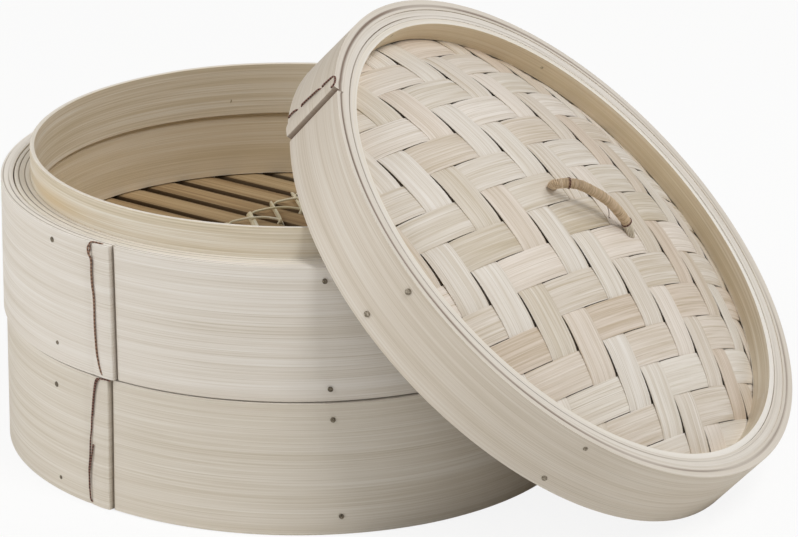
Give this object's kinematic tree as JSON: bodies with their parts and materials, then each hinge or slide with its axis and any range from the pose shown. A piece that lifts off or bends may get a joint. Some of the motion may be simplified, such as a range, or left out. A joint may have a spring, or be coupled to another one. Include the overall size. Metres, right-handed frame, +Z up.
{
  "type": "bamboo steamer",
  "caption": "Round stacking bamboo steamer: slatted-floor tiers with collars, and a domed woven lid that leans against the stack.",
  "frame": {"origin": "middle of the bounding box, on the table that the lower tier and the lid's low edge stand on", "axes": "+Z up, along the axes of the tiers; +X from the stack towards the leaning lid; the lid's axis lies in the XZ plane"},
  "size_m": [0.2806, 0.2029, 0.1557],
  "materials": {
    "band": "bleached bamboo strip, satin, fine grain round the hoop",
    "collar": "thin bleached bamboo strip, satin",
    "hoop": "split bamboo, satin, darker inner face",
    "slat": "sawn bamboo slat, dull",
    "cane": "split cane strand",
    "strip": "shaved bamboo strip, satin, fibres along the strip",
    "lining": "bamboo sheet, dull",
    "handle": "cane rod wound with split cane",
    "thread": "dark brown waxed thread"
  },
  "bodies": {
    "lower_tier": {"lower_collar": "collar", "lower_foot_hoop": "hoop", "lower_inner_hoop": "hoop", "lower_lashing_left": "cane", "lower_lashing_right": "cane", "lower_outer_band": "band", "lower_seam_thread": "thread", "lower_side_slat_left_1": "slat", "lower_side_slat_right_1": "slat", "lower_slat_grid": "slat"},
    "upper_tier": {"upper_collar": "collar", "upper_foot_hoop": "hoop", "upper_inner_hoop": "hoop", "upper_lashing_left": "cane", "upper_lashing_right": "cane", "upper_outer_band": "band", "upper_seam_thread": "thread", "upper_side_slat_left_1": "slat", "upper_side_slat_right_1": "slat", "upper_slat_grid": "slat"},
    "lid": {"lid_handle_rod": "handle", "lid_handle_wrap": "handle", "lid_inner_hoop": "hoop", "lid_lining": "lining", "lid_outer_band": "band", "lid_seam_thread": "thread", "lid_strip_across_01": "strip", "lid_strip_across_02": "strip", "lid_strip_across_03": "strip", "lid_strip_across_04": "strip", "lid_strip_across_05": "strip", "lid_strip_across_06": "strip", "lid_strip_across_07": "strip", "lid_strip_across_08": "strip", "lid_strip_across_09": "strip", "lid_strip_across_10": "strip", "lid_strip_across_11": "strip", "lid_strip_across_12": "strip", "lid_strip_across_13": "strip", "lid_strip_across_14": "strip", "lid_strip_across_15": "strip", "lid_strip_along_01": "strip", "lid_strip_along_02": "strip", "lid_strip_along_03": "strip", "lid_strip_along_04": "strip", "lid_strip_along_05": "strip", "lid_strip_along_06": "strip", "lid_strip_along_07": "strip", "lid_strip_along_08": "strip", "lid_strip_along_09": "strip", "lid_strip_along_10": "strip", "lid_strip_along_11": "strip", "lid_strip_along_12": "strip", "lid_strip_along_13": "strip", "lid_strip_along_14": "strip", "lid_strip_along_15": "strip", "lid_top_ring": "hoop", "lid_under_ring": "hoop"}
  },
  "joints": [
    {"name": "upper_tier_lift", "type": "slide", "parent": "lower_tier", "child": "upper_tier", "axis": [0, 0, 1], "range_m": [0, 0.06]},
    {"name": "lid_lift", "type": "slide", "parent": "upper_tier", "child": "lid", "axis": [0.673, 0, 0.7396], "range_m": [0, 0.1]}
  ]
}
